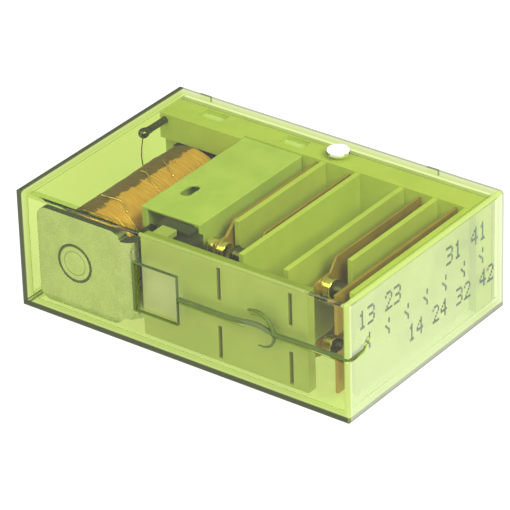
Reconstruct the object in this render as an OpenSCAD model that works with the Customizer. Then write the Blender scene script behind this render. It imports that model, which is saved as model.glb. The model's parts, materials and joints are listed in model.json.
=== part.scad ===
// Flat four-pole printed-circuit relay with forcibly guided contacts.
// It lies on a long side: +X runs along its length, -Y is its front, the contact pins point to +Y.
// Sizes inside the modules count from the housing's left, front, bottom corner; placed() moves
// that corner so that the origin is the centre of the bottom face.

/* [Housing] */
// Length of the housing along X
body_l = 50; // [49.5:0.1:50.5]
// Width of the housing from its front to the circuit-board side
body_w = 33; // [33:0.1:33.6]
// Height of the housing as it lies
body_h = 16.5; // [16.5:0.1:17]
// Wall thickness of the transparent cover
wall = 1.0; // [0.8:0.05:1.1]
// Rounding of the cover's outer edges
edge_r = 0.5; // [0.4:0.1:1.2]
// Height of the small feet that stand on the circuit board
foot_h = 0.4; // [0.2:0.1:0.6]

/* [Coil] */
// Distance of the coil's axis from the left end
coil_x = 7.9; // [7.8:0.05:8]
// Height of the coil's axis
coil_z = 7.9; // [7.8:0.05:8]
// Radius of the copper winding
winding_r = 5.6; // [5:0.1:5.7]
// Radius of the iron core
core_r = 2.6; // [2.2:0.1:2.7]

/* [Contacts] */
// Height of the contact axis of the upper poles
upper_z = 12.2; // [12.1:0.05:12.3]
// Height of the contact axis of the lower poles
lower_z = 4.1; // [4:0.05:4.2]
// Distance of the contact rivets from the front
contact_y = 8.2; // [7.8:0.1:8.4]
// Radius of the contact rivets' heads
rivet_r = 1.2; // [1:0.1:1.3]
// Thickness of the fixed contact strips
strip_t = 0.4; // [0.3:0.05:0.45]
// Thickness of the moving contact springs
spring_t = 0.25; // [0.15:0.05:0.3]
// Sideways travel of the actuator card
card_travel = 1.1; // [0.8:0.05:1.1]

/* [Pins] */
// Radius of the round solder pins
pin_r = 0.5; // [0.4:0.05:0.55]
// Length of the pins beyond the housing's rim
pin_len = 3.5; // [3:0.1:4]

/* [Hidden] */
$fn = 64;
eps = 0.01;
gap = 0.05;
inner_r = 0.15;
rim_y = body_w;
cavity_top = body_h - wall;
cavity_right = body_l - wall;

// Base moulding
block_front = 28.6;
ledge_front = 27.6;
ledge_z = 11.8;
block_back = 32.0;
resin_back = 32.6;
shoulder_back = 33.1;
shelf_z = [7.9, 8.6];
wall_top = 15.2;
wall_bottom = 1.3;
partition_t = 0.7;
short_wall_front = 10.6;
long_wall_front = 4.5;
partition_a = 25.7;
partition_b = 30.9;
partition_c = 37.5;
partition_d = 42.5;
partition_end = 47.1;
pocket_y = [29.7, 31.7];
pocket_x = [5.6, 18.3];
pocket_l = 3.7;
pocket_depth = 0.8;

// Magnetic circuit
plate_y = [1.3, 2.9];
plate_x = [2.2, 17.2];
plate_z = [1.4, 14.4];
shoe_y = 7.0;
shoe_z = [2.5, 13.3];
bend_r = 2.0;
yoke_y = [27.1, 28.4];
yoke_x = [3.5, 20.4];
yoke_z = [3.0, 11.5];
core_tail_r = 1.9;
bobbin_y = [3.2, 27.0];
flange_t = 0.9;
back_flange_t = 0.5;
tube_r = core_r + 0.7;
back_flange_r = 3.9;
front_flange_x = [1.7, 14.1];
front_flange_z = [1.5, 13.2];
armature_x = [18.4, 20.4];
armature_y = [3.2, 26.95];
armature_z = [2.5, 13.3];
driver_right = 23.6;
driver_y = [3.2, 7.1];
driver_z = [1.6, 14.2];
driver_top_x = [17.9, 22.9];
driver_top_front = 5.2;
driver_top_z = 14.9;
tongue_x = [19.3, 20.4];
tongue_z = [6.0, 10.0];
tongue_front = 2.0;
tongue_slot_front = 1.9;

// Hood over the armature
hood_x = [14.0, 22.9];
hood_y = [7.3, block_front - gap];
hood_t = 0.9;
hood_top_t = 0.4;
hood_lip_z = 12.2;
hood_slot = [16.6, 13.7];
hood_slot_r = 0.75;
hood_slot_l = 3.0;

// Actuator card
card_x = [18.5, 43.2];
card_y = [1.3, 2.8];
card_z = [1.4, 15.3];
card_tab_x = [19.2, 21.4];
card_tab_back = 4.8;
card_tab_z = 14.5;
slot_clear = 0.15;

// Contact set: X of the strips and springs, and the rivets' faces
fixed_no_x = 25.15;
moving_no_x = 30.15;
moving_nc_x = 40.7;
fixed_nc_x = 45.9;
fixed_no_face = 26.5;
moving_no_face = 27.4;
moving_nc_face = 42.3;
fixed_nc_face = 42.35;
strip_h = 5.4;
long_strip_front = 3.3;
short_strip_front = 7.1;
spring_root = 28.5;
tip_front = 2.0;
tip_h = 4.2;
neck_h = 1.8;
rivet_hole_r = 0.62;
rivet_shank_r = 0.6;
tail_r = 0.95;
tail_t = 0.45;
long_tail_t = 1.2;
terminal_t = 0.5;
terminal_h = 3.0;
terminal_front = 26.4;
blade_back = 31.0;
pin_pocket_front = 30.2;
shoulder_r = 0.68;
pin_tip = 0.5;
moving_pin_shift = spring_t / 2 + gap + terminal_t / 2;

// Coil terminals
rod_x = 1.9;
rod_r = 0.45;
rod_front = 23.2;
upper_rod_z = 14.5;
upper_pin_z = 12.4;
lower_rod_z = 2.4;
lower_pin_z = 4.1;
jog_y = [29.6, 30.4];
bead_r = 0.7;

// Vent plug and the cover's moulded details
vent_at = [27.1, 30.4];
vent_head_r = 1.45;
vent_head_t = 0.45;
vent_stem_r = 0.8;
window_x = [17.9, 24.7];
window_z = [5.2, 12.0];
window_depth = 0.6;
seam_r = 0.36;
seam_y = -0.05;
seam_z = 8.8;
seam_side_l = 3.2;
seam_tail_l = 1.8;
ring_at = [36.8, 9.0];
ring_r = 2.1;
foot_x = [4.3, 39.4];
foot_l = 1.7;

// Leads of the winding: points along their routes
lead_r = 0.08;
lead_start = [
    [1.9, 23.0, 13.9], [1.72, 22.9, 12.4], [1.72, 22.8, 11.3], [1.95, 22.7, 10.2], [2.7, 22.6, 9.0]
];
lead_finish = [
    [1.9, 23.0, 3.0], [1.72, 22.9, 3.9], [1.72, 22.8, 4.8], [1.95, 22.7, 5.8], [2.7, 22.6, 6.9]
];

// ---- helpers ----

module placed() {
    translate([-body_l / 2, -body_w / 2, 0]) children();
}

// A box between two corners
module block(lo, hi) {
    translate(lo) cube(hi - lo);
}

// A cylinder along +Y
module rod_y(at, r, len) {
    translate(at) rotate([-90, 0, 0]) cylinder(r = r, h = len);
}

// A cylinder along +X
module rod_x_dir(at, r, len) {
    translate(at) rotate([0, 90, 0]) cylinder(r = r, h = len);
}

// A rectangle with its four corners rounded
module rounded_rect(l, w, r) {
    translate([r, 0]) square([l - 2 * r, w]);
    translate([0, r]) square([l, w - 2 * r]);
    for (x = [r, l - r], y = [r, w - r]) translate([x, y]) circle(r);
}

// A rectangle with only the two corners at y = 0 rounded
module front_rounded_rect(l, w, r) {
    translate([0, r]) square([l, w - r]);
    translate([r, 0]) square([l - 2 * r, 2 * r]);
    for (x = [r, l - r]) translate([x, r]) circle(r);
}

// A rectangle with only the corners at x = 0 rounded
module side_rounded_rect(l, w, r) {
    translate([r, 0]) square([l - r, w]);
    translate([0, r]) square([2 * r, w - 2 * r]);
    for (y = [r, w - r]) translate([r, y]) circle(r);
}

// A box whose edges are round, apart from those around its back face
module open_back_box(size, r) {
    intersection() {
        linear_extrude(size[2]) front_rounded_rect(size[0], size[1], r);
        rotate([90, 0, 90]) linear_extrude(size[0]) side_rounded_rect(size[1], size[2], r);
        translate([0, size[1], 0]) rotate([90, 0, 0]) linear_extrude(size[1])
            rounded_rect(size[0], size[2], r);
    }
}

// A round wire along a list of points
function unit(v) = v / norm(v);
function heading(path, i) = unit(path[min(i + 1, len(path) - 1)] - path[max(i - 1, 0)]);
function wire_ring(path, i, r, sides) =
    let (t = heading(path, i), u = unit(cross(t, [0.31, 0.12, 1])), v = cross(t, u))
    [for (k = [0 : sides - 1]) path[i] + r * (cos(360 * k / sides) * u + sin(360 * k / sides) * v)];

module wire(path, r, sides = 8) {
    n = len(path);
    points = [for (i = [0 : n - 1]) each wire_ring(path, i, r, sides)];
    sides_faces = [for (i = [0 : n - 2], k = [0 : sides - 1])
        let (a = i * sides + k, b = i * sides + (k + 1) % sides)
        [a, a + sides, b + sides, b]];
    first = [[for (k = [0 : sides - 1]) k]];
    last = [[for (k = [0 : sides - 1]) n * sides - 1 - k]];
    polyhedron(points, concat(sides_faces, first, last));
}

// ---- housing ----

// Half-round moulded seam in the cover: from the window, over the ring, around the corner
module seam_from_window() {
    rod_x_dir([window_x[1] - 0.4, seam_y, seam_z], seam_r, ring_at[0] - ring_r - window_x[1] + 0.5);
}

module seam_ring() {
    translate([ring_at[0], seam_y, ring_at[1]]) rotate([90, 0, 0]) rotate([0, 0, -3])
        rotate_extrude(angle = 123) translate([ring_r, 0]) circle(seam_r);
}

module seam_to_corner() {
    rod_x_dir([ring_at[0] + ring_r - 0.1, seam_y, seam_z], seam_r, body_l);
}

module seam_on_side() {
    rod_y([body_l - seam_y, -1, seam_z], seam_r, seam_side_l + 1);
}

module seam_tail() {
    translate([body_l - seam_y, seam_side_l - 0.1, seam_z]) rotate([48, 0, 0])
        rod_y([0, 0, 0], seam_r, seam_tail_l);
}

// Open-backed shell with the right-hand half of the seam cut into it
module cover_shell() {
    inner = [body_l - 2 * wall, body_w, body_h - 2 * wall];
    difference() {
        open_back_box([body_l, body_w, body_h], edge_r);
        translate([wall, wall, wall]) open_back_box(inner, inner_r);
        seam_ring();
        seam_to_corner();
        seam_on_side();
        seam_tail();
    }
}

module cover_with_window() {
    difference() {
        cover_shell();
        block([window_x[0], -1, window_z[0]], [window_x[1], window_depth, window_z[1]]);
        translate([vent_at[0], vent_at[1], body_h - vent_head_t - gap])
            cylinder(r = vent_head_r + gap, h = 2);
        translate([vent_at[0], vent_at[1], body_h - 2]) cylinder(r = vent_stem_r + gap, h = 3);
    }
}

module cover() {
    color("yellowgreen", 0.4) placed() {
        difference() {
            cover_with_window();
            seam_from_window();
        }
        for (x = foot_x, z = [0.2, body_h - wall])
            block([x - foot_l / 2, rim_y - eps, z], [x + foot_l / 2, rim_y + foot_h, z + wall - 0.2]);
    }
}

// The terminals' passages through the base block
module strip_passage(x, z, t, h) {
    block([x - t / 2 - gap, block_front - 1, z - h / 2 - gap],
        [x + t / 2 + gap, pin_pocket_front + eps, z + h / 2 + gap]);
    block([x - shoulder_r - gap, pin_pocket_front, z - h / 2 - gap],
        [x + shoulder_r + gap, block_back + 1, z + h / 2 + gap]);
}

module coil_passage(rod_z, pin_z) {
    low = min(rod_z, pin_z) - shoulder_r - gap;
    high = max(rod_z, pin_z) + shoulder_r + gap;
    rod_y([rod_x, ledge_front - 1, rod_z], rod_r + gap, 3);
    block([rod_x - shoulder_r - gap, jog_y[0] - gap, low],
        [rod_x + shoulder_r + gap, block_back + 1, high]);
}

module partition(x, front) {
    block([x, front, wall_bottom], [x + partition_t, block_front + eps, wall_top]);
}

module base() {
    color("darkkhaki") placed() difference() {
        union() {
            block([wall + 0.1, block_front, wall + 0.1],
                [cavity_right - 0.1, block_back, cavity_top - 0.1]);
            block([wall + 0.1, ledge_front, ledge_z],
                [hood_x[0] - gap, block_front + eps, cavity_top - 0.1]);
            partition(partition_a, short_wall_front);
            partition(partition_b, long_wall_front);
            partition(partition_c, long_wall_front);
            partition(partition_d, short_wall_front);
            partition(partition_end, long_wall_front);
            block([hood_x[1] + 0.3, short_wall_front, shelf_z[0]],
                [partition_b + eps, block_front + eps, shelf_z[1]]);
            block([partition_c + eps, short_wall_front, shelf_z[0]],
                [partition_end + eps, block_front + eps, shelf_z[1]]);
        }
        for (x = pocket_x)
            block([x, pocket_y[0], cavity_top - 0.1 - pocket_depth],
                [x + pocket_l, pocket_y[1], body_h]);
        for (z = [lower_z, upper_z]) {
            strip_passage(fixed_no_x, z, strip_t, strip_h);
            strip_passage(fixed_nc_x, z, strip_t, strip_h);
            for (x = [moving_no_x, moving_nc_x])
                strip_passage(x + moving_pin_shift, z, terminal_t, terminal_h);
        }
        coil_passage(upper_rod_z, upper_pin_z);
        coil_passage(lower_rod_z, lower_pin_z);
    }
}

module pin_hole(x, z) {
    rod_y([x, block_back - 1, z], shoulder_r + gap, 3);
}

module sealing_resin() {
    color("dimgray") placed() difference() {
        block([wall + gap, block_back + gap, wall + gap],
            [cavity_right - gap, resin_back, cavity_top - gap]);
        for (z = [lower_z, upper_z]) {
            pin_hole(fixed_no_x, z);
            pin_hole(moving_no_x + moving_pin_shift, z);
            pin_hole(moving_nc_x + moving_pin_shift, z);
            pin_hole(fixed_nc_x, z);
        }
        pin_hole(rod_x, upper_pin_z);
        pin_hole(rod_x, lower_pin_z);
    }
}

module vent_plug() {
    color("lavender") placed() translate([vent_at[0], vent_at[1], 0]) {
        translate([0, 0, body_h - vent_head_t]) cylinder(r = vent_head_r, h = vent_head_t);
        translate([0, 0, cavity_top]) cylinder(r = vent_stem_r, h = wall - vent_head_t + eps);
    }
}

// ---- coil and magnet ----

module bobbin() {
    color("palegoldenrod") placed() difference() {
        union() {
            block([front_flange_x[0], bobbin_y[0], front_flange_z[0]],
                [front_flange_x[1], bobbin_y[0] + flange_t, front_flange_z[1]]);
            rod_y([coil_x, bobbin_y[0], coil_z], tube_r, bobbin_y[1] - bobbin_y[0]);
            rod_y([coil_x, bobbin_y[1] - back_flange_t, coil_z], back_flange_r, back_flange_t);
        }
        rod_y([coil_x, 0, coil_z], core_r + gap, body_w);
    }
}

module coil_winding() {
    start = bobbin_y[0] + flange_t + gap;
    length = bobbin_y[1] - back_flange_t - gap - start;
    shoulder = 1.6;
    color("darkorange") placed() translate([coil_x, start, coil_z]) rotate([-90, 0, 0])
        rotate_extrude() difference() {
            union() {
                square([winding_r, length - shoulder]);
                square([winding_r - shoulder, length]);
                translate([winding_r - shoulder, length - shoulder]) circle(shoulder);
            }
            translate([0, -1]) square([tube_r + gap, length + 2]);
        }
}

module coil_core() {
    color("silver") placed() {
        rod_y([coil_x, plate_y[0], coil_z], core_r, yoke_y[0] - plate_y[0]);
        rod_y([coil_x, yoke_y[0] - eps, coil_z], core_tail_r, yoke_y[1] - yoke_y[0] + eps);
    }
}

module yoke() {
    color("gray") placed() difference() {
        block([yoke_x[0], yoke_y[0] + gap, yoke_z[0]], [yoke_x[1], yoke_y[1], yoke_z[1]]);
        rod_y([coil_x, 0, coil_z], core_tail_r + gap, body_w);
    }
}

// Front plate on the core, bent back at its right end into the pole shoe
module pole_plate() {
    t = plate_y[1] - plate_y[0];
    flat_end = plate_x[1] - bend_r;
    color("gainsboro") placed() difference() {
        union() {
            translate([plate_x[0], plate_y[1], plate_z[0]]) rotate([90, 0, 0]) linear_extrude(t)
                rounded_rect(flat_end - plate_x[0], plate_z[1] - plate_z[0], 1.5);
            block([flat_end - 2, plate_y[0], shoe_z[0]], [flat_end, plate_y[1], shoe_z[1]]);
            translate([flat_end, plate_y[0] + bend_r, shoe_z[0]])
                linear_extrude(shoe_z[1] - shoe_z[0]) difference() {
                    intersection() {
                        circle(bend_r);
                        translate([-eps, -bend_r]) square([bend_r + eps, bend_r]);
                    }
                    circle(bend_r - t);
                }
            block([plate_x[1] - t, plate_y[0] + bend_r - eps, shoe_z[0]],
                [plate_x[1], shoe_y, shoe_z[1]]);
        }
        rod_y([coil_x, 0, coil_z], core_r + gap, body_w);
    }
}

module armature() {
    color("slategray") placed() {
        block([armature_x[0], armature_y[0], armature_z[0]],
            [armature_x[1], armature_y[1], armature_z[1]]);
        block([tongue_x[0], tongue_front, tongue_z[0]],
            [tongue_x[1], armature_y[0] + eps, tongue_z[1]]);
    }
}

// Dark plastic driver clipped around the right side of the armature's free end
module armature_driver() {
    color("darkslategray") placed() {
        block([armature_x[1] + gap, driver_y[0], driver_z[0]],
            [driver_right, driver_y[1], driver_z[1]]);
        block([driver_top_x[0], driver_top_front, armature_z[1] + gap],
            [driver_top_x[1], driver_y[1], driver_top_z]);
    }
}

// Flat steel strip that keeps the armature on the yoke's edge
module armature_spring() {
    left = yoke_x[1] + gap;
    foot_y = [yoke_y[0] + 0.1, yoke_y[1] - 0.1];
    color("lightsteelblue") placed() difference() {
        union() {
            block([left + 0.2, 17, 5], [left + 0.45, foot_y[1], 10.6]);
            block([left, foot_y[0], 5], [left + 0.2 + eps, foot_y[1], 10.6]);
        }
        block([left + 0.1, 19, 6.8], [left + 1, 25.4, 8.8]);
    }
}

module armature_hood() {
    color("yellowgreen") placed() difference() {
        block([hood_x[0], hood_y[0], wall_bottom], [hood_x[1], hood_y[1], wall_top]);
        block([hood_x[0] + hood_t, hood_y[0] - 1, 0],
            [hood_x[1] - hood_t, hood_y[1] + 1, wall_top - hood_top_t]);
        block([hood_x[0] - 1, hood_y[0] - 1, 0],
            [hood_x[0] + hood_t + eps, hood_y[1] + 1, hood_lip_z]);
        for (dy = [-1, 1])
            translate([hood_slot[0], hood_slot[1] + dy * (hood_slot_l / 2 - hood_slot_r), wall_top - 2])
                cylinder(r = hood_slot_r, h = 3);
        block([hood_slot[0] - hood_slot_r, hood_slot[1] - hood_slot_l / 2 + hood_slot_r, wall_top - 2],
            [hood_slot[0] + hood_slot_r, hood_slot[1] + hood_slot_l / 2 - hood_slot_r, wall_top + 1]);
    }
}

// ---- actuator ----

module actuator_card() {
    color("beige") placed() difference() {
        union() {
            block([card_x[0], card_y[0], card_z[0]], [card_x[1], card_y[1], card_z[1]]);
            block([card_tab_x[0], card_y[1] - eps, card_tab_z],
                [card_tab_x[1], card_tab_back, card_z[1]]);
        }
        block([tongue_x[0] - slot_clear, tongue_slot_front, tongue_z[0] - slot_clear],
            [tongue_x[1] + slot_clear, 9, tongue_z[1] + slot_clear]);
        for (x = [moving_no_x, moving_nc_x], z = [lower_z, upper_z])
            block([x - spring_t / 2 - slot_clear, 0, z - tip_h / 2 - slot_clear],
                [x + spring_t / 2 + slot_clear, 9, z + tip_h / 2 + slot_clear]);
    }
}

// ---- terminals and contacts ----

// A round solder pin on a shoulder that runs through the resin
module solder_pin(x, z, start) {
    tip = rim_y + pin_len;
    rod_y([x, start, z], shoulder_r, shoulder_back - start);
    rod_y([x, shoulder_back - eps, z], pin_r, tip - pin_tip - shoulder_back + eps);
    translate([x, tip - pin_tip - eps, z]) rotate([-90, 0, 0])
        cylinder(r1 = pin_r, r2 = pin_r / 2, h = pin_tip);
}

module coil_terminal(rod_z, pin_z) {
    rod_y([rod_x, rod_front, rod_z], rod_r, jog_y[0] - rod_front + eps);
    block([rod_x - rod_r, jog_y[0], min(rod_z, pin_z) - rod_r],
        [rod_x + rod_r, jog_y[1], max(rod_z, pin_z) + rod_r]);
    solder_pin(rod_x, pin_z, jog_y[1] - eps);
}

module coil_solder_beads() {
    color("darkgray") placed() for (z = [upper_rod_z, lower_rod_z]) difference() {
        translate([rod_x, rod_front, z]) sphere(bead_r);
        rod_y([rod_x, rod_front, z], rod_r, 3);
    }
}

// A leaf of the given side outline, its normal along +X
module leaf(x, z, t, outline) {
    difference() {
        translate([x - t / 2, 0, z]) rotate([90, 0, 90]) linear_extrude(t) polygon(outline);
        rod_x_dir([x - 2, contact_y, z], rivet_hole_r, 4);
    }
}

// A fixed strip's blade in the base and its solder pin
module fixed_root(x, z) {
    block([x - strip_t / 2, pin_pocket_front, z - terminal_h / 2],
        [x + strip_t / 2, blade_back, z + terminal_h / 2]);
    solder_pin(x, z, pin_pocket_front + 0.2);
}

// Fixed strip that keeps its full height up to its front end
module long_fixed_contact(x, z) {
    back = pin_pocket_front + 0.1;
    h = strip_h / 2;
    color("peru") placed() {
        leaf(x, z, strip_t, [[back, -h], [long_strip_front, -h], [long_strip_front, h], [back, h]]);
        fixed_root(x, z);
    }
}

// Fixed strip that narrows to a head around its rivet
module short_fixed_contact(x, z) {
    back = pin_pocket_front + 0.1;
    h = strip_h / 2;
    head = rivet_r - 0.1;
    color("peru") placed() {
        leaf(x, z, strip_t, [
            [back, -h], [11.6, -h], [9.6, -head], [short_strip_front, -head],
            [short_strip_front, head], [9.6, head], [11.6, h], [back, h]
        ]);
        fixed_root(x, z);
    }
}

// A moving contact spring: full height up to its rivet, a narrow neck, and a T-shaped tip in the card
module moving_spring(x, z) {
    h = strip_h / 2;
    head = rivet_r - 0.05;
    neck = neck_h / 2;
    tip = tip_h / 2;
    color("peru") placed() leaf(x, z, spring_t, [
        [spring_root, -h], [10.8, -h], [9.5, -head], [6.9, -head],
        [6.4, -neck], [3.8, -neck], [3.4, -tip], [tip_front, -tip],
        [tip_front, tip], [3.4, tip], [3.8, neck], [6.4, neck],
        [6.9, head], [9.5, head], [10.8, h], [spring_root, h]
    ]);
}

// The moving spring's root blade with its solder pin
module moving_terminal(x, z) {
    left = x + spring_t / 2 + gap;
    color("peru") placed() {
        block([left, terminal_front, z - terminal_h / 2],
            [left + terminal_t, blade_back, z + terminal_h / 2]);
        solder_pin(left + terminal_t / 2, z, pin_pocket_front + 0.2);
    }
}

// A contact rivet through a strip at x, with its contact face at face_x
module contact_rivet(x, t, z, face_x, end_r = tail_r, end_t = tail_t) {
    side = face_x > x ? 1 : -1;
    seat = x + side * (t / 2 + eps);
    tail = x - side * (t / 2 + eps);
    color("gold") placed() {
        rod_x_dir([min(seat, face_x), contact_y, z], rivet_r, abs(face_x - seat));
        rod_x_dir([min(seat, tail) - eps, contact_y, z], rivet_shank_r, t + 4 * eps);
        rod_x_dir([min(tail, tail - side * end_t), contact_y, z], end_r, end_t);
    }
}

cover();
base();
sealing_resin();
vent_plug();
bobbin();
coil_winding();
coil_core();
yoke();
pole_plate();
armature();
armature_driver();
armature_spring();
armature_hood();
actuator_card();
color("darkseagreen") placed() coil_terminal(upper_rod_z, upper_pin_z);  // coil_terminal_upper
color("darkseagreen") placed() coil_terminal(lower_rod_z, lower_pin_z);  // coil_terminal_lower
coil_solder_beads();
color("orange") placed() wire(lead_start, lead_r);  // coil_lead_start
color("orange") placed() wire(lead_finish, lead_r);  // coil_lead_finish
short_fixed_contact(fixed_no_x, upper_z);  // no_fixed_contact_upper
short_fixed_contact(fixed_no_x, lower_z);  // no_fixed_contact_lower
long_fixed_contact(fixed_nc_x, upper_z);  // nc_fixed_contact_upper
long_fixed_contact(fixed_nc_x, lower_z);  // nc_fixed_contact_lower
contact_rivet(fixed_no_x, strip_t, upper_z, fixed_no_face, rivet_r, long_tail_t);  // no_fixed_rivet_upper
contact_rivet(fixed_no_x, strip_t, lower_z, fixed_no_face, rivet_r, long_tail_t);  // no_fixed_rivet_lower
contact_rivet(fixed_nc_x, strip_t, upper_z, fixed_nc_face);  // nc_fixed_rivet_upper
contact_rivet(fixed_nc_x, strip_t, lower_z, fixed_nc_face);  // nc_fixed_rivet_lower
moving_spring(moving_no_x, upper_z);  // no_moving_spring_upper
moving_spring(moving_no_x, lower_z);  // no_moving_spring_lower
moving_spring(moving_nc_x, upper_z);  // nc_moving_spring_upper
moving_spring(moving_nc_x, lower_z);  // nc_moving_spring_lower
contact_rivet(moving_no_x, spring_t, upper_z, moving_no_face);  // no_moving_rivet_upper
contact_rivet(moving_no_x, spring_t, lower_z, moving_no_face);  // no_moving_rivet_lower
contact_rivet(moving_nc_x, spring_t, upper_z, moving_nc_face);  // nc_moving_rivet_upper
contact_rivet(moving_nc_x, spring_t, lower_z, moving_nc_face);  // nc_moving_rivet_lower
moving_terminal(moving_no_x, upper_z);  // no_moving_terminal_upper
moving_terminal(moving_no_x, lower_z);  // no_moving_terminal_lower
moving_terminal(moving_nc_x, upper_z);  // nc_moving_terminal_upper
moving_terminal(moving_nc_x, lower_z);  // nc_moving_terminal_lower
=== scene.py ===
import json
import math
import random

import bmesh
import bpy
from mathutils import Matrix, Vector, noise as mnoise


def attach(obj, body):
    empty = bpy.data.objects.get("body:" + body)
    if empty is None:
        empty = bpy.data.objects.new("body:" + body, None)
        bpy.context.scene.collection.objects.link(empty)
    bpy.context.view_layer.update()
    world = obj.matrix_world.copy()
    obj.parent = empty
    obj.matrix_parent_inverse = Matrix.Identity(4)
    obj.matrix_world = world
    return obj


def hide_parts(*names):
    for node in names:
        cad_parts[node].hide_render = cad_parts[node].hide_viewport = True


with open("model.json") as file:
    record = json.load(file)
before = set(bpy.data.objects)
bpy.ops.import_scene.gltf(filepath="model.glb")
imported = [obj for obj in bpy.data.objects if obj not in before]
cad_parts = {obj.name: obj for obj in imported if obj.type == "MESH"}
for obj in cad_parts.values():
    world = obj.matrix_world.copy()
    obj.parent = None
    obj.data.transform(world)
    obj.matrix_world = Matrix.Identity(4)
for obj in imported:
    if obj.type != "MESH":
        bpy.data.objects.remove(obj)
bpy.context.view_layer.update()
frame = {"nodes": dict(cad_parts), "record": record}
nodes = frame["nodes"]

MM = 0.001
LENGTH, WIDTH, HEIGHT = 50.0, 33.0, 16.5
UPPER_Z, LOWER_Z = 12.2, 4.1
CONTACT_Y = 8.2
COIL_X, COIL_Z = 7.9, 7.9
SEAM_Z = 8.8
SEAM_MIDDLE = 9.0
REFRACTION = 1.49


def at(x, y, z):
    """A point counted in millimetres from the housing's left, front, bottom corner."""
    return Vector(((x - LENGTH / 2) * MM, (y - WIDTH / 2) * MM, z * MM))


# ---- camera and lamps ----

def make_camera():
    place = Vector((0.245243, -0.322777, 0.241209))
    target = Vector((0.000443, -0.001641, 0.00825))
    roll = math.radians(1.72)
    ahead = (target - place).normalized()
    side = ahead.cross(Vector((0, 0, 1))).normalized()
    down = ahead.cross(side)
    right = side * math.cos(roll) + down * math.sin(roll)
    up = right.cross(ahead)
    data = bpy.data.cameras.new("camera")
    data.lens = 267.7
    data.sensor_width = 36
    data.clip_start, data.clip_end = 0.01, 10
    camera = bpy.data.objects.new("camera", data)
    bpy.context.scene.collection.objects.link(camera)
    camera.matrix_world = Matrix((
        (right.x, up.x, -ahead.x, place.x),
        (right.y, up.y, -ahead.y, place.y),
        (right.z, up.z, -ahead.z, place.z),
        (0, 0, 0, 1),
    ))
    bpy.context.scene.camera = camera


def make_lamp(name, place, target, size, power):
    data = bpy.data.lights.new(name, "AREA")
    data.shape = "RECTANGLE"
    data.size, data.size_y = size
    data.energy = power
    lamp = bpy.data.objects.new(name, data)
    bpy.context.scene.collection.objects.link(lamp)
    lamp.location = place
    lamp.rotation_mode = "QUATERNION"
    lamp.rotation_quaternion = (Vector(target) - Vector(place)).to_track_quat("-Z", "Y")
    return lamp


# ---- shader helpers ----

def add(tree, kind, inputs=None, **settings):
    """A shader node with its inputs set to values or linked to sockets."""
    made = tree.nodes.new("ShaderNode" + kind)
    for key, value in settings.items():
        setattr(made, key, value)
    for key, value in (inputs or {}).items():
        socket = made.inputs[key]
        if isinstance(value, bpy.types.NodeSocket):
            tree.links.new(value, socket)
        else:
            socket.default_value = value
    return made


def new_material(name):
    made = bpy.data.materials.new(name)
    made.use_nodes = True
    made.node_tree.nodes.clear()
    return made, made.node_tree


def rgba(colour):
    return (*colour, 1.0)


def maths(tree, operation, a, b=0.0, clamp=False):
    return add(tree, "Math", {0: a, 1: b}, operation=operation, use_clamp=clamp).outputs[0]


def product(tree, first, *others):
    for other in others:
        first = maths(tree, "MULTIPLY", first, other)
    return first


def largest(tree, first, *others):
    for other in others:
        first = maths(tree, "MAXIMUM", first, other)
    return first


def above(tree, value, limit):
    return maths(tree, "GREATER_THAN", value, limit)


def below(tree, value, limit):
    return maths(tree, "LESS_THAN", value, limit)


def invert(tree, value):
    return maths(tree, "SUBTRACT", 1.0, value, clamp=True)


def mix_shaders(tree, factor, first, second):
    return add(tree, "MixShader", {0: factor, 1: first, 2: second}).outputs[0]


def noise(tree, coords, scale, detail=3.0, rough=0.55, distortion=0.0):
    return add(tree, "TexNoise", {
        "Vector": coords, "Scale": scale, "Detail": detail,
        "Roughness": rough, "Distortion": distortion,
    }).outputs[0]


def ramp(tree, value, low, high, to_low=0.0, to_high=1.0):
    return add(tree, "MapRange", {
        0: value, 1: low, 2: high, 3: to_low, 4: to_high,
    }, interpolation_type="SMOOTHSTEP").outputs[0]


def blend_colour(tree, factor, a, b, kind="MIX"):
    made = add(tree, "Mix", data_type="RGBA", blend_type=kind)
    for key, value in ((0, factor), (6, a), (7, b)):
        if isinstance(value, bpy.types.NodeSocket):
            tree.links.new(value, made.inputs[key])
        elif key == 0:
            made.inputs[key].default_value = value
        else:
            made.inputs[key].default_value = rgba(value)
    return made.outputs[2]


def object_coords(tree, stretch=(1, 1, 1)):
    coords = add(tree, "TexCoord").outputs["Object"]
    if stretch == (1, 1, 1):
        return coords
    return add(tree, "Mapping", {"Vector": coords, "Scale": stretch}).outputs[0]


def position_mm(tree):
    """Object-space x, y, z as separate values in millimetres from the housing's corner."""
    coords = add(tree, "Mapping", {
        "Vector": object_coords(tree), "Scale": (1 / MM, 1 / MM, 1 / MM),
        "Location": (LENGTH / 2, WIDTH / 2, 0),
    }).outputs[0]
    return add(tree, "SeparateXYZ", {0: coords}).outputs


def edge_mask(tree, radius):
    """1 along edges and 0 on flats, from how far a rounded normal leans off the true one."""
    rounded = add(tree, "Bevel", {"Radius": radius}, samples=4).outputs[0]
    true = add(tree, "NewGeometry").outputs["Normal"]
    dot = add(tree, "VectorMath", {0: rounded, 1: true}, operation="DOT_PRODUCT").outputs["Value"]
    return ramp(tree, dot, 0.98, 0.8)


# ---- materials ----

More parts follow.
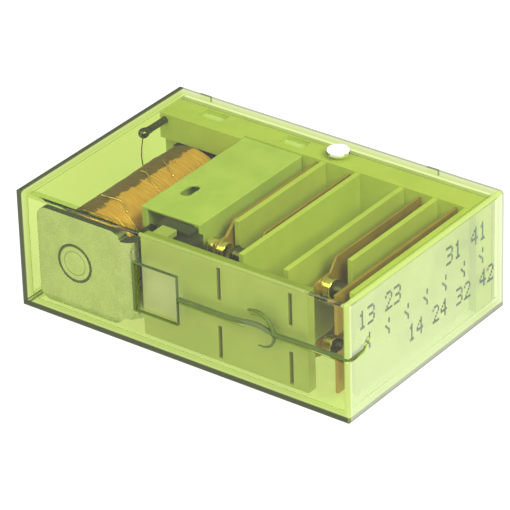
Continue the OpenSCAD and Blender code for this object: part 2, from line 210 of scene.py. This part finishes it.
def plastic(name, colour, tint, rough=0.45, grain=0.05):
    """Moulded plastic: slow colour drift, fine texture and slightly polished, paler edges."""
    mat, tree = new_material(name)
    coords = object_coords(tree)
    drift = noise(tree, coords, 240, 4)
    fine = noise(tree, coords, 9000, 2)
    edges = edge_mask(tree, 0.00018)
    base = blend_colour(tree, ramp(tree, drift, 0.35, 0.7), colour, tint)
    paler = tuple(min(1, c * 1.08 + 0.02) for c in colour)
    base = blend_colour(tree, maths(tree, "MULTIPLY", edges, 0.6), base, paler)
    roughness = ramp(tree, drift, 0.3, 0.75, rough - 0.06, rough + 0.08)
    bump = add(tree, "Bump", {"Strength": grain, "Distance": 0.00004, "Height": fine}).outputs[0]
    shader = add(tree, "BsdfPrincipled", {
        "Base Color": base, "Roughness": roughness, "Normal": bump, "IOR": 1.5,
    })
    add(tree, "OutputMaterial", {"Surface": shader.outputs[0]})
    return mat


def recolour(mat, mask, colour):
    """Lays a colour over a material's base colour where the mask is 1."""
    tree = mat.node_tree
    shader = next(n for n in tree.nodes if n.type == "BSDF_PRINCIPLED")
    base = shader.inputs["Base Color"].links[0].from_socket
    tree.links.new(blend_colour(tree, mask, base, colour), shader.inputs["Base Color"])
    return mat


def pocketed_plastic(name, colour, tint):
    """The base's plastic: as the others, with painted light on the floors of its two moulded pockets, pale as
    if light came through.
    """
    mat = plastic(name, colour, tint)
    tree = mat.node_tree
    place = position_mm(tree)
    # painted light: the pocket floors are recoloured pale
    inside = product(
        tree, above(tree, place[2], 14.5), below(tree, place[2], 14.72),
        above(tree, place[0], 5.5), below(tree, place[0], 22.2), above(tree, place[1], 29.6))
    return recolour(mat, inside, (0.62, 0.66, 0.56))


def metal(name, colour, tint, rough=0.3, stretch=(1, 1, 1), scratch=0.06, metallic=1.0, painted_top_shade=None,
          fineness=5000):
    """Metal with streaks along one direction, stains, worn edges and, if given, painted shade on its
    upward-facing faces.
    """
    mat, tree = new_material(name)
    streaks = noise(tree, object_coords(tree, stretch), fineness, 3, 0.6)
    stain = noise(tree, object_coords(tree), 420, 5, 0.6)
    edges = edge_mask(tree, 0.00012)
    base = blend_colour(tree, ramp(tree, stain, 0.35, 0.7), colour, tint)
    bright = tuple(min(1, c * 1.25 + 0.03) for c in colour)
    base = blend_colour(tree, maths(tree, "MULTIPLY", edges, 0.7), base, bright)
    mixed = maths(tree, "ADD", maths(tree, "MULTIPLY", streaks, 0.6), maths(tree, "MULTIPLY", stain, 0.4))
    roughness = ramp(tree, mixed, 0.3, 0.7, rough - 0.08, rough + 0.12)
    bump = add(tree, "Bump", {"Strength": scratch, "Distance": 0.00003, "Height": streaks}).outputs[0]
    if painted_top_shade:
        # painted shade: upward-facing faces are darkened to the given colour
        upward = add(tree, "SeparateXYZ", {0: add(tree, "TexCoord").outputs["Normal"]}).outputs[2]
        base = blend_colour(tree, ramp(tree, upward, 0.6, 0.9), base, painted_top_shade)
    shader = add(tree, "BsdfPrincipled", {
        "Base Color": base, "Roughness": roughness, "Normal": bump, "Metallic": metallic,
    })
    add(tree, "OutputMaterial", {"Surface": shader.outputs[0]})
    return mat


def tinned_strip(name, colour, tint):
    """Rolled copper alloy that is bright and tinned where it leaves the resin as a solder pin."""
    mat = metal(name, colour, tint, 0.42, (1, 0.08, 1), metallic=0.3)
    tree = mat.node_tree
    wander = maths(tree, "MULTIPLY", noise(tree, object_coords(tree), 900, 3), 0.5)
    dipped = ramp(tree, maths(tree, "ADD", position_mm(tree)[1], wander), 32.9, 33.2)
    return recolour(mat, dipped, (0.46, 0.47, 0.44))


def riveted_end(name):
    """The core's plated steel: its end face has a stamped ring, and a dark ring of painted shade round its
    rim where it meets the plate's hole.
    """
    mat = metal(name, (0.66, 0.68, 0.56), (0.60, 0.62, 0.50), 0.24, scratch=0.004, fineness=900)
    tree = mat.node_tree
    place = position_mm(tree)
    across = maths(tree, "SUBTRACT", place[0], COIL_X)
    upward = maths(tree, "SUBTRACT", place[2], COIL_Z)
    squares = maths(tree, "ADD", product(tree, across, across), product(tree, upward, upward))
    radius = maths(tree, "SQRT", squares)
    # painted shade: a dark ring round the core's rim, in the gap to the plate's hole
    groove = ramp(tree, radius, 2.2, 2.35)
    stamped = product(tree, ramp(tree, radius, 1.5, 1.58), ramp(tree, radius, 1.75, 1.67), 0.45)
    return recolour(mat, largest(tree, groove, stamped), (0.10, 0.13, 0.07))


def edge_bands(tree, place, parts):
    """Gives near(axis, full, none): 1 past `full`, 0 at `none`, and 0 on faces across that axis."""
    along = [below(tree, part, 0.9) for part in parts]

    def near(axis, full, none):
        return product(tree, ramp(tree, place[axis], none, full), along[axis])

    return near


def painted_shade_edges(tree, near, parts):
    """Painted shade: dark bands along the far edges, where the walls carry the light off sideways."""
    on_end = above(tree, parts[0], 0.5)
    bottom = product(tree, near(2, 0.95, 1.15), invert(tree, on_end))
    bottom_of_end = product(tree, near(2, 0.85, 1.10), on_end, 0.85)
    left = product(tree, near(0, 0.90, 1.15), 0.97)
    back = product(tree, near(1, WIDTH - 0.30, WIDTH - 0.45), 0.45)
    return largest(tree, bottom, bottom_of_end, left, back)


def painted_deep_edges(tree, near, parts, end_face):
    """Painted shade: deeper green beside the edges, in the line inside the top's right edge and on the end
    face.
    """
    on_top = above(tree, parts[2], 0.9)
    front = product(tree, near(1, 1.0, 1.15), on_top)
    inner_line = product(
        tree, near(0, LENGTH - 0.85, LENGTH - 0.95), near(0, LENGTH - 0.45, LENGTH - 0.35), on_top)
    return largest(
        tree, near(2, 1.5, 2.1), near(0, 1.8, 2.3), near(1, WIDTH - 1.35, WIDTH - 1.6),
        front, inner_line, product(tree, end_face, 0.35))


def painted_glow_edges(tree, near, parts, place):
    """Painted highlight: the rounded edges around the end face, apart from the stretch that the seam takes
    up.
    """
    on_end = above(tree, parts[0], 0.1)
    right = product(tree, near(0, LENGTH - 0.45, LENGTH - 0.75), 0.85)
    corner = product(tree, near(1, 0.62, 0.78), on_end, 0.85)
    upper = product(tree, near(2, HEIGHT - 0.25, HEIGHT - 0.35), on_end, 0.85)
    from_seam = maths(tree, "ABSOLUTE", maths(tree, "SUBTRACT", place[2], SEAM_MIDDLE))
    off_seam = largest(tree, above(tree, from_seam, 1.0), below(tree, place[1], 0.8))
    return product(tree, largest(tree, right, corner, upper), above(tree, place[0], LENGTH - 0.8), off_seam)


def clear_plastic(name):
    """Transparent green plastic: clear flats, glassy edges, painted shade and painted highlight along the
    edges, a pale diffuse end face, lamps pass through.
    """
    mat, tree = new_material(name)
    coords = object_coords(tree)
    place = position_mm(tree)
    normal = add(tree, "TexCoord").outputs["Normal"]
    size = add(tree, "VectorMath", {0: normal}, operation="ABSOLUTE").outputs[0]
    parts = add(tree, "SeparateXYZ", {0: size}).outputs
    outside = maths(tree, "SUBTRACT", 1.0, add(tree, "NewGeometry").outputs["Backfacing"])

    height = maths(tree, "ADD", noise(tree, coords, 90, 2), product(tree, noise(tree, coords, 2600, 3), 0.03))
    bump = add(tree, "Bump", {"Strength": 0.12, "Distance": 0.00012, "Height": height}).outputs[0]
    roughness = ramp(tree, noise(tree, coords, 700, 4), 0.35, 0.8, 0.015, 0.06)

    # curved zones: glass with painted shade mixed in where it is seen edge on
    glass = add(tree, "BsdfPrincipled", {
        "Base Color": (0.80, 0.86, 0.62, 1), "Roughness": roughness, "IOR": REFRACTION,
        "Transmission Weight": 1.0, "Normal": bump,
    }).outputs[0]
    shade = add(tree, "BsdfPrincipled", {
        "Base Color": (0.035, 0.045, 0.008, 1), "Roughness": 0.5,
    }).outputs[0]
    edge_on_painted_shade = ramp(tree, add(tree, "LayerWeight").outputs["Facing"], 0.38, 0.62, 0.0, 0.9)
    glass = mix_shaders(tree, edge_on_painted_shade, glass, shade)

    # flats: straight through, with a gloss on the outside only
    clear = add(tree, "BsdfTransparent").outputs[0]
    gloss = add(tree, "BsdfGlossy", {"Roughness": roughness, "Normal": bump}).outputs[0]
    shine = add(tree, "Fresnel", {"IOR": REFRACTION, "Normal": bump}).outputs[0]
    shine = product(tree, shine, outside)
    flat = mix_shaders(tree, shine, clear, gloss)
    curved = ramp(tree, largest(tree, *parts), 0.9995, 0.985)
    body = mix_shaders(tree, curved, flat, glass)

    # painted shade and painted highlight along the edges, by their distance from the outline
    near = edge_bands(tree, place, parts)
    end_face = above(tree, place[0], LENGTH - 0.02)
    # painted shade: a deeper green tint beside the edges
    painted_deep_mask = product(tree, painted_deep_edges(tree, near, parts, end_face), outside)
    painted_deep_tint = add(tree, "BsdfTransparent", {"Color": (0.74, 0.79, 0.56, 1)}).outputs[0]
    body = mix_shaders(tree, painted_deep_mask, body, mix_shaders(tree, shine, painted_deep_tint, gloss))
    # painted shade: dark bands along the bottom, left and back edges
    painted_edge_darkening = painted_shade_edges(tree, near, parts)
    body = mix_shaders(tree, product(tree, painted_edge_darkening, outside), body, shade)
    painted_glow_mask = product(tree, painted_glow_edges(tree, near, parts, place), outside, invert(tree, painted_edge_darkening))
    # painted highlight: a pale green diffuse layer on the rounded edges around the end face
    glow = add(tree, "BsdfDiffuse", {"Color": (0.40, 0.50, 0.145, 1)}).outputs[0]
    body = mix_shaders(tree, painted_glow_mask, body, glow)

    # a pale diffuse layer mixed over the end face makes that face paler
    cloud = ramp(tree, noise(tree, coords, 60, 2), 0.3, 0.7, 0.20, 0.28)
    pale_end_layer = add(tree, "BsdfDiffuse", {"Color": (0.80, 0.83, 0.70, 1)}).outputs[0]
    body = mix_shaders(tree, product(tree, end_face, cloud), body, pale_end_layer)

    path = add(tree, "LightPath").outputs
    passing = largest(tree, path["Is Shadow Ray"], path["Is Diffuse Ray"])
    surface = add(tree, "MixShader", {0: passing, 1: body, 2: clear})
    volume = add(tree, "VolumeAbsorption", {"Color": (0.74, 0.855, 0.13, 1), "Density": 560.0})
    add(tree, "OutputMaterial", {"Surface": surface.outputs[0], "Volume": volume.outputs[0]})
    return mat


def wound_copper(name):
    """Enamelled wire with painted light and shade: bright right of the crest as if in light, darker and
    browner down the left side as shade.
    """
    mat, tree = new_material(name)
    coords = object_coords(tree)
    place = position_mm(tree)
    wander = maths(tree, "MULTIPLY", maths(tree, "SUBTRACT", noise(tree, coords, 700, 3, 0.7), 0.5), 2.6)
    side = maths(tree, "ADD", place[0], wander)
    # painted light and shade: the copper is painted bright right of the crest and darker, browner to its left
    painted_lit_side = ramp(tree, side, 7.9, 8.3)
    turns = noise(tree, object_coords(tree, (1, 14, 1)), 420, 4, 0.7)
    bright = blend_colour(tree, ramp(tree, turns, 0.3, 0.7), (0.86, 0.45, 0.13), (0.66, 0.30, 0.07))
    painted_shade_brown = blend_colour(tree, ramp(tree, turns, 0.3, 0.7), (0.24, 0.14, 0.07), (0.16, 0.09, 0.045))
    base = blend_colour(tree, painted_lit_side, painted_shade_brown, bright)
    bump = add(tree, "Bump", {"Strength": 0.4, "Distance": 0.00005, "Height": turns}).outputs[0]
    shader = add(tree, "BsdfPrincipled", {
        "Base Color": base, "Roughness": ramp(tree, turns, 0.3, 0.7, 0.34, 0.5),
        "Normal": bump, "Metallic": 0.35,
    })
    add(tree, "OutputMaterial", {"Surface": shader.outputs[0]})
    return mat


CREAM, CREAM_TINT = (0.54, 0.575, 0.24), (0.49, 0.525, 0.21)
clear_cover = clear_plastic("clear_green_cover")
base_plastic = pocketed_plastic("base_plastic", CREAM, CREAM_TINT)
hood_plastic = plastic("pale_green_hood_plastic", (0.50, 0.56, 0.28), (0.43, 0.50, 0.235))
card_plastic = plastic("cream_card_plastic", (0.40, 0.42, 0.21), (0.36, 0.38, 0.185))
bobbin_plastic = plastic("bobbin_plastic", (0.44, 0.46, 0.22), (0.38, 0.40, 0.18))
# near-black, partly the driver's own colour and partly painted shade for the dark opening in front of the
# hood
dark_plastic = plastic("charcoal_driver_plastic_and_painted_shade", (0.035, 0.04, 0.035), (0.05, 0.055, 0.05), 0.5)
resin = plastic("cast_resin", (0.50, 0.52, 0.45), (0.42, 0.44, 0.38), 0.35, 0.2)
vent_white = plastic("vent_white", (0.86, 0.85, 0.92), (0.80, 0.79, 0.86), 0.6, 0.3)
seam_green = plastic("seam_green", (0.065, 0.105, 0.012), (0.09, 0.135, 0.02), 0.6)
print_grey = plastic("print_grey", (0.10, 0.13, 0.085), (0.16, 0.19, 0.13), 0.7)
# nickel plate, painted darker on its upward-facing faces as shade
nickel = metal("nickel_plate", (0.60, 0.62, 0.50), (0.54, 0.56, 0.44), 0.26, scratch=0.004,
               painted_top_shade=(0.09, 0.13, 0.06), fineness=900)
iron = metal("soft_iron", (0.16, 0.165, 0.16), (0.11, 0.115, 0.11), 0.42)
spring_steel = metal("spring_steel", (0.60, 0.61, 0.60), (0.5, 0.5, 0.5), 0.22)
solder = metal("solder", (0.16, 0.17, 0.15), (0.10, 0.11, 0.09), 0.2)
tinned = metal("tinned_wire", (0.18, 0.19, 0.16), (0.12, 0.12, 0.10), 0.3, (1, 0.1, 1))
gold = metal("gold_contact", (1.0, 0.90, 0.48), (1.0, 0.84, 0.38), 0.17, (0.2, 1, 1), 0.03)
silver_dark = metal("tarnished_silver", (0.20, 0.18, 0.13), (0.12, 0.11, 0.08), 0.3, (0.2, 1, 1))
copper_strip = tinned_strip("contact_copper", (0.43, 0.265, 0.10), (0.36, 0.215, 0.08))
enamel = wound_copper("enamelled_copper")
stray_wire = metal("loose_enamelled_wire", (0.95, 0.72, 0.36), (0.85, 0.55, 0.22), 0.25)

FINISH = {
    "clear_cover": clear_cover, "base_plastic": base_plastic, "hood_plastic": hood_plastic,
    "dark_plastic": dark_plastic, "resin": resin, "vent": vent_white,
    "bobbin_plastic": bobbin_plastic, "enamelled_copper": enamel, "nickel_steel": nickel,
    "soft_iron": iron, "spring_steel": spring_steel, "card_plastic": card_plastic,
    "solder": solder, "tinned_wire": tinned, "gold_contact": gold,
    "silver_contact": silver_dark, "contact_copper": copper_strip,
}
SLOT = {part["node"]: part["material_slot"] for part in frame["record"]["subparts"]}
for name, slot in SLOT.items():
    nodes[name].data.materials.clear()
    nodes[name].data.materials.append(FINISH[slot])
nodes["coil_core"].data.materials[0] = riveted_end("riveted_core")


# ---- mesh helpers ----

def soften(name, radius, segments=2):
    """Rounds a carried-over node's edges with modifiers."""
    node = nodes[name]
    weld = node.modifiers.new("weld", "WELD")
    weld.merge_threshold = 0.000002
    bevel = node.modifiers.new("bevel", "BEVEL")
    bevel.width = radius * MM
    bevel.segments = segments
    bevel.limit_method = "ANGLE"
    bevel.angle_limit = math.radians(40)
    bevel.harden_normals = False


def finish_piece(name, bm, material, body, replaced=(), sharp=40):
    """Turns mesh code into a named piece that rides on a body."""
    bmesh.ops.recalc_face_normals(bm, faces=bm.faces)
    mesh = bpy.data.meshes.new(name)
    bm.to_mesh(mesh)
    bm.free()
    for face in mesh.polygons:
        face.use_smooth = True
    mesh.set_sharp_from_angle(angle=math.radians(sharp))
    mesh.materials.append(material)
    piece = bpy.data.objects.new(name, mesh)
    bpy.context.scene.collection.objects.link(piece)
    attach(piece, body)
    if replaced:
        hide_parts(*replaced)
    return piece


def skin(bm, rings, closed_loop=False):
    """Quads between rings of points; the ends are capped unless the rings close on themselves."""
    verts = [[bm.verts.new(p) for p in ring] for ring in rings]
    pairs = list(zip(verts, verts[1:]))
    if closed_loop:
        pairs.append((verts[-1], verts[0]))
    for first, second in pairs:
        count = len(first)
        for k in range(count):
            bm.faces.new((first[k], first[(k + 1) % count], second[(k + 1) % count], second[k]))
    if not closed_loop:
        bm.faces.new(verts[0])
        bm.faces.new(reversed(verts[-1]))


def lathe(bm, profile, centre, axis, sides=48, closed_loop=False):
    """A turned solid: profile of (place along the axis, radius) around centre, in millimetres."""
    rings = []
    for along, radius in profile:
        ring = []
        for k in range(sides):
            turn = math.tau * k / sides
            u, v = radius * math.cos(turn), radius * math.sin(turn)
            x, y, z = centre
            if axis == "X":
                ring.append(at(along, y + u, z + v))
            else:
                ring.append(at(x + u, along, z + v))
        rings.append(ring)
    skin(bm, rings, closed_loop)


def smooth_path(points, steps=6):
    """Points along a smooth curve through the given ones."""
    points = [Vector(p) for p in points]
    padded = [2 * points[0] - points[1]] + points + [2 * points[-1] - points[-2]]
    path = []
    for a, b, c, d in zip(padded, padded[1:], padded[2:], padded[3:]):
        for k in range(steps):
            t = k / steps
            path.append(0.5 * (2 * b + (c - a) * t + (2 * a - 5 * b + 4 * c - d) * t * t
                               + (3 * b - 3 * c + d - a) * t ** 3))
    path.append(points[-1])
    return path


def tube(bm, points, radius, sides=8, steps=6):
    """A round wire along a smooth path, in millimetres; radius is one size or one per path end."""
    path = smooth_path(points, steps)
    first, last = radius if isinstance(radius, tuple) else (radius, radius)
    normal = Vector((0.13, 0.21, 0.97))
    rings = []
    for k, point in enumerate(path):
        ahead = (path[min(k + 1, len(path) - 1)] - path[max(k - 1, 0)]).normalized()
        normal = (normal - ahead * normal.dot(ahead)).normalized()
        side = ahead.cross(normal)
        size = first + (last - first) * k / (len(path) - 1)
        rings.append([
            at(*(point + size * (math.cos(math.tau * j / sides) * normal
                                 + math.sin(math.tau * j / sides) * side)))
            for j in range(sides)
        ])
    skin(bm, rings)


def slab(bm, low, high):
    """A box between two corners in millimetres."""
    made = bmesh.ops.create_cube(bm, size=1.0)["verts"]
    low, high = at(*low), at(*high)
    for vert in made:
        vert.co = Vector(((low[i] + high[i]) / 2 + vert.co[i] * (high[i] - low[i])) for i in range(3))


# ---- the winding ----

def make_winding():
    """Scramble-wound sleeve: one ridge per turn, wandering layers and a rounded back end."""
    front, back, radius, bore, shoulder = 4.15, 26.45, 5.6, 3.36, 1.6
    pitch, samples, sides = 0.30, 5, 96
    count = int((back - front) / pitch * samples)
    draw = random.Random(7)
    lift = [draw.uniform(-0.07, 0.02) for _ in range(int(count / samples) + 2)]
    rings = []
    for k in range(count + 1):
        y = front + (back - front) * k / count
        over = max(0.0, y - (back - shoulder))
        size = radius - shoulder + math.sqrt(max(0.0, shoulder ** 2 - over ** 2)) if over else radius
        ring = []
        for j in range(sides):
            turn = math.tau * j / sides
            phase = (y / pitch + j / sides) % 1.0
            number = int(y / pitch + j / sides) % len(lift)
            ridge = math.sqrt(max(0.0, 1 - (2 * phase - 1) ** 2)) - 1.0
            slow = mnoise.noise(Vector((math.cos(turn) * 1.6, y * 0.35, math.sin(turn) * 1.6)))
            r = size + 0.10 * ridge + lift[number] + 0.10 * slow - 0.10
            r = min(r, radius)
            ring.append(at(COIL_X + r * math.cos(turn), y, COIL_Z + r * math.sin(turn)))
        rings.append(ring)
    for y in (back, front):
        rings.append([
            at(COIL_X + bore * math.cos(math.tau * j / sides), y,
               COIL_Z + bore * math.sin(math.tau * j / sides)) for j in range(sides)
        ])
    bm = bmesh.new()
    skin(bm, rings, closed_loop=True)
    finish_piece("winding_turns", bm, enamel, "housing", ("coil_winding",), 180)

    strays = [
        [(6.2, 17.0, 13.2), (7.6, 16.4, 13.62), (9.2, 15.3, 13.5), (10.4, 15.0, 12.9)],
        [(7.2, 20.3, 13.45), (8.8, 19.2, 13.62), (10.3, 18.4, 13.05)],
        [(5.8, 9.6, 13.05), (7.4, 8.9, 13.6), (9.4, 9.2, 13.4), (10.8, 8.4, 12.7)],
        [(6.6, 5.0, 13.3), (7.8, 4.5, 13.7), (9.3, 4.6, 13.55), (10.9, 5.3, 12.9)],
    ]
    bm = bmesh.new()
    for points in strays:
        tube(bm, points, 0.09, 6)
    finish_piece("winding_stray_turns", bm, stray_wire, "housing", (), 180)


# ---- contacts ----

def make_rivet(pole, kind, level, body, x, thickness, z, face):
    """A turned contact rivet: shank, a drum with raised lips, and a domed head or a second drum."""
    side = 1 if face > x else -1
    seat, tail = x + side * (thickness / 2 + 0.01), x - side * (thickness / 2 + 0.01)
    rim, shank, drum, lip = 0.36, 0.60, 1.08, 1.19
    if (pole, kind) == ("no", "fixed"):
        end = tail - side * 1.2
        closing = [(end, 0.3), (end + side * 0.01, drum), (end + side * 0.08, lip),
                   (end + side * 0.34, lip), (end + side * 0.40, 1.10), (tail, 1.10)]
    else:
        closing = [(tail - side * 0.45, 0.30), (tail - side * 0.42, 0.62), (tail - side * 0.30, 0.86),
                   (tail - side * 0.12, 0.95), (tail, 0.95)]
    profile = closing + [
        (tail, shank), (seat, shank),
        (seat, 1.10), (seat + side * 0.06, 1.18), (seat + side * (rim - 0.06), 1.18),
        (seat + side * rim, drum), (face - side * rim, drum),
        (face - side * (rim - 0.06), lip), (face - side * 0.10, lip),
        (face - side * 0.04, 1.12), (face - side * 0.01, 0.70), (face, 0.25),
    ]
    bm = bmesh.new()
    lathe(bm, profile, (0, CONTACT_Y, z), "X")
    name = f"{pole}_{kind}_rivet_{level}"
    slot = SLOT[name]
    finish_piece(name.replace("rivet", "contact_head"), bm, FINISH[slot], body, (name,), 50)


# ---- cover details ----

def make_seam():
    """Dark moulded bead that fills the groove in the cover."""
    depth = 0.36
    bm = bmesh.new()
    front = [
        (24.8, SEAM_Z), (28.2, SEAM_Z), (31.6, SEAM_Z), (33.7, 8.9), (35.4, 9.15), (36.9, 9.15),
        (38.2, 8.85), (39.4, 8.7), (41.5, 8.75), (44.5, SEAM_Z), (48.6, SEAM_Z),
    ]
    path = [(x, depth, z) for x, z in front]
    path += [(49.5, depth + 0.12, SEAM_Z), (LENGTH - depth, 0.9, SEAM_Z)]
    path += [(LENGTH - depth, 3.1, SEAM_Z), (LENGTH - depth, 3.6, 9.2)]
    tube(bm, path, (0.34, 0.30), 10)
    loop = [(35.2, 10.9), (36.0, 11.05), (36.9, 11.0), (38.0, 10.4), (38.75, 9.4), (39.0, 8.5)]
    tube(bm, [(x, depth, z) for x, z in loop], (0.16, 0.32), 10)
    tail = [(39.0, SEAM_Z), (38.95, 7.9), (38.5, 7.0), (37.6, 6.5), (36.6, 6.45)]
    tube(bm, [(x, depth, z) for x, z in tail], (0.26, 0.08), 10)
    finish_piece("cover_seam_bead", bm, seam_green, "housing", (), 60)


def make_window_rim():
    """Thin raised rim around the window's recess."""
    left, right, low, high = 17.9, 24.7, 5.2, 12.0
    front, back, thin, thick = 0.02, 0.5, 0.12, 0.34
    bm = bmesh.new()
    slab(bm, (left, front, low), (left + thick, back, high))
    slab(bm, (right - thin, front, low), (right, back, high))
    slab(bm, (left + thick, front, low), (right - thin, back, low + thin))
    slab(bm, (left + thick, front, high - thin), (right - thin, back, high))
    bmesh.ops.bevel(bm, geom=bm.edges[:], offset=0.04 * MM, segments=1, affect="EDGES")
    finish_piece("cover_window_rim", bm, seam_green, "housing", (), 30)


# Dot rows of the digits, top row first, one bit per dot
DIGITS = {
    "1": (4, 12, 4, 4, 4, 4, 14), "2": (14, 17, 1, 2, 4, 8, 31),
    "3": (30, 1, 1, 14, 1, 1, 30), "4": (2, 6, 10, 18, 31, 2, 2),
}


def print_block(bm, y, z, width, height):
    slab(bm, (LENGTH - 0.01, y, z), (LENGTH + 0.012, y + width, z + height))


def print_digits(bm, text, y, top, pitch):
    """A row of dot-matrix digits on the end face."""
    for mark in text:
        if mark != " ":
            for row, bits in enumerate(DIGITS[mark]):
                for column in range(5):
                    if bits >> (4 - column) & 1:
                        print_block(bm, y + column * pitch * 0.8, top - (row + 1) * pitch,
                                    pitch * 0.80, pitch * 0.98)
        y += pitch * 5.0


def make_marking():
    """Generic contact numbers and switch strokes in place of the printed text."""
    bm = bmesh.new()
    for text, y, top, pitch in (
            ("13 23", 2.2, 14.4, 0.36), ("31 41", 20.4, 14.4, 0.36),
            ("14 24", 12.4, 7.6, 0.34), ("32 42", 22.6, 7.6, 0.34)):
        print_digits(bm, text, y, top, pitch)
    for y in (4.2, 8.2, 12.2, 16.2, 20.2, 24.2, 28.2):
        print_block(bm, y, 8.6, 0.30, 0.7)
        print_block(bm, y, 10.1, 0.30, 0.7)
        for step in range(3):
            print_block(bm, y - 0.25 - 0.22 * step, 9.3 + 0.24 * step, 0.30, 0.26)
    finish_piece("contact_marking", bm, print_grey, "housing", (), 30)


# ---- terminals and resin ----

COIL_PIN_X = 1.9
PINS = [(x, z) for x in (25.15, 30.575, 41.125, 45.9) for z in (LOWER_Z, UPPER_Z)]
PINS += [(COIL_PIN_X, LOWER_Z), (COIL_PIN_X, 12.4)]


def make_resin():
    """Cast resin: a wavy face that climbs the walls and every pin."""
    low, high = (1.06, 1.06), (48.94, 15.44)
    columns, rows = 144, 44
    front, level, most = 32.06, 32.42, 32.85
    swell, ripple = 0.10, 0.03
    wall_climb, wall_reach = 0.22, 0.4
    pin_climb, pin_reach, pin_radius = 0.30, 0.35, 0.6
    bm = bmesh.new()
    grid = []
    for j in range(rows + 1):
        line = []
        for i in range(columns + 1):
            x = low[0] + (high[0] - low[0]) * i / columns
            z = low[1] + (high[1] - low[1]) * j / rows
            wall = min(x - low[0], high[0] - x, z - low[1], high[1] - z)
            pin = min(math.hypot(x - px, z - pz) - pin_radius for px, pz in PINS)
            y = level + swell * mnoise.noise(Vector((x * 0.16, z * 0.16, 3.1)))
            y += ripple * mnoise.noise(Vector((x * 0.9, z * 0.9, 8.2)))
            y += wall_climb * math.exp(-wall / wall_reach) + pin_climb * math.exp(-max(pin, 0.0) / pin_reach)
            line.append(bm.verts.new(at(x, min(y, most), z)))
        grid.append(line)
    for lower, upper in zip(grid, grid[1:]):
        for i in range(columns):
            bm.faces.new((lower[i], lower[i + 1], upper[i + 1], upper[i]))
    rim = grid[0] + [line[-1] for line in grid[1:]] + grid[-1][-2::-1]
    rim += [line[0] for line in grid[-2:0:-1]]
    under = []
    for vert in rim:
        under.append(bm.verts.new((vert.co.x, at(0, front, 0).y, vert.co.z)))
    for k in range(len(rim)):
        after = (k + 1) % len(rim)
        bm.faces.new((rim[k], rim[after], under[after], under[k]))
    bm.faces.new(under)
    finish_piece("cast_resin_face", bm, resin, "housing", ("sealing_resin",), 60)


def make_beads():
    """Solder beads that taper along the coil terminals and hold the lead's end."""
    bm = bmesh.new()
    for z in (14.5, 2.4):
        profile = [
            (22.50, 0.10), (22.56, 0.32), (22.72, 0.52), (22.95, 0.66), (23.2, 0.70),
            (23.5, 0.66), (23.8, 0.56), (24.2, 0.49), (24.7, 0.46),
        ]
        lathe(bm, profile, (COIL_PIN_X, 0, z), "Y", 28)
    for vert in bm.verts:
        push = mnoise.noise(vert.co * 900) * 0.05 * MM
        vert.co.z += push
    finish_piece("terminal_solder_beads", bm, solder, "housing", ("coil_solder_beads",), 60)


make_winding()
# Strip's place, its thickness and the rivet's contact face, all along the length
FACES = {
    ("no", "fixed"): (25.15, 0.4, 26.5), ("no", "moving"): (30.15, 0.25, 27.4),
    ("nc", "fixed"): (45.9, 0.4, 42.35), ("nc", "moving"): (40.7, 0.25, 42.3),
}
for (pole, kind), (x, thickness, face) in FACES.items():
    for level, z in (("upper", UPPER_Z), ("lower", LOWER_Z)):
        body = "housing" if kind == "fixed" else f"{pole}_spring_{level}"
        make_rivet(pole, kind, level, body, x, thickness, z, face)
make_seam()
make_window_rim()
make_marking()
make_resin()
make_beads()

for name, radius in (
        ("base", 0.10), ("armature_hood", 0.15), ("actuator_card", 0.10), ("pole_plate", 0.15),
        ("bobbin", 0.12), ("coil_core", 0.18), ("armature", 0.12), ("armature_driver", 0.15),
        ("vent_plug", 0.12)):
    soften(name, radius)


# ---- floor, light and world ----

def make_world():
    world = bpy.data.worlds.new("studio")
    world.use_nodes = True
    background = world.node_tree.nodes["Background"]
    background.inputs["Color"].default_value = (1, 1, 1, 1)
    background.inputs["Strength"].default_value = 0.62
    bpy.context.scene.world = world


def make_floor():
    """A white floor that glows a little, so that it stays white behind the clear plastic."""
    mat, tree = new_material("floor")
    glow = add(tree, "Emission", {"Color": (1, 1, 1, 1), "Strength": 0.90})
    cloud = noise(tree, object_coords(tree), 30)
    matte = add(tree, "BsdfDiffuse", {
        "Color": blend_colour(tree, cloud, (0.20, 0.20, 0.20), (0.22, 0.22, 0.22)),
    })
    both = add(tree, "AddShader", {0: glow.outputs[0], 1: matte.outputs[0]})
    add(tree, "OutputMaterial", {"Surface": both.outputs[0]})
    bm = bmesh.new()
    bmesh.ops.create_grid(bm, x_segments=4, y_segments=4, size=2.0)
    mesh = bpy.data.meshes.new("floor")
    bm.to_mesh(mesh)
    bm.free()
    mesh.materials.append(mat)
    floor = bpy.data.objects.new("floor", mesh)
    bpy.context.scene.collection.objects.link(floor)
    floor.location.z = -0.2 * MM


make_camera()
make_world()
make_lamp("key", (0.36, -0.13, 0.36), (0, 0, 0), (0.25, 0.25), 3.0)
make_lamp("fill", (-0.10, -0.35, 0.30), (0, 0, 0), (0.4, 0.4), 1.2)
make_floor()
bpy.context.scene.view_settings.view_transform = "Standard"
bpy.context.scene.cycles.transparent_max_bounces = 24
bpy.context.scene.cycles.transmission_bounces = 16
bpy.context.scene.cycles.max_bounces = 16
